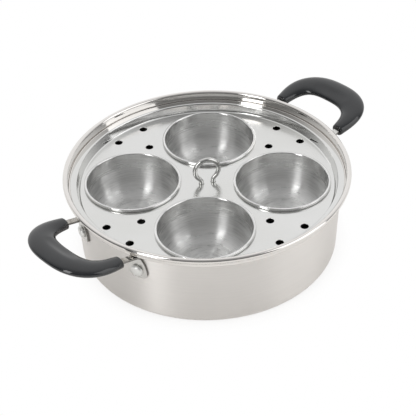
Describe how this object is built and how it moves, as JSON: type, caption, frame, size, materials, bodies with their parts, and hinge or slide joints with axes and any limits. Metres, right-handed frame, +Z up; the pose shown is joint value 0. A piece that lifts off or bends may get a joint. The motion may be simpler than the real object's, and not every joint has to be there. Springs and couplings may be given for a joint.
{
  "type": "egg poacher pan",
  "caption": "Shallow steel pan with side handles, a drop-in perforated tray, a wire lifting loop and lift-out egg cups with rolled rims.",
  "frame": {"origin": "centre of the pan's flat base, on the table", "axes": "+X along the line through the two handles, +Z up, +Y across"},
  "size_m": [0.3134, 0.22, 0.0768],
  "materials": {
    "pan_steel": "satin, brushed round the side",
    "tray_steel": "polished",
    "cup_steel": "turned satin inside, polished rim",
    "wire_steel": "polished",
    "bracket_steel": "polished",
    "rivet_steel": "satin",
    "grip_phenolic": "semi-gloss moulded phenolic"
  },
  "bodies": {
    "pan": {"pan_body": "pan_steel", "handle_bracket_1": "bracket_steel", "handle_bracket_2": "bracket_steel", "handle_bracket_3": "bracket_steel", "handle_bracket_4": "bracket_steel", "handle_grip_1": "grip_phenolic", "handle_grip_2": "grip_phenolic", "rivet_1": "rivet_steel", "rivet_2": "rivet_steel", "rivet_3": "rivet_steel", "rivet_4": "rivet_steel"},
    "tray": {"egg_tray": "tray_steel", "lift_loop": "wire_steel"},
    "cup_1": {"egg_cup_1": "cup_steel"},
    "cup_2": {"egg_cup_2": "cup_steel"},
    "cup_3": {"egg_cup_3": "cup_steel"},
    "cup_4": {"egg_cup_4": "cup_steel"}
  },
  "joints": [
    {"name": "tray_lift", "type": "slide", "parent": "pan", "child": "tray", "axis": [0, 0, 1], "range_m": [0, 0.08]},
    {"name": "cup_1_lift", "type": "slide", "parent": "tray", "child": "cup_1", "axis": [0, 0, 1], "range_m": [0, 0.05]},
    {"name": "cup_2_lift", "type": "slide", "parent": "tray", "child": "cup_2", "axis": [0, 0, 1], "range_m": [0, 0.05]},
    {"name": "cup_3_lift", "type": "slide", "parent": "tray", "child": "cup_3", "axis": [0, 0, 1], "range_m": [0, 0.05]},
    {"name": "cup_4_lift", "type": "slide", "parent": "tray", "child": "cup_4", "axis": [0, 0, 1], "range_m": [0, 0.05]}
  ]
}
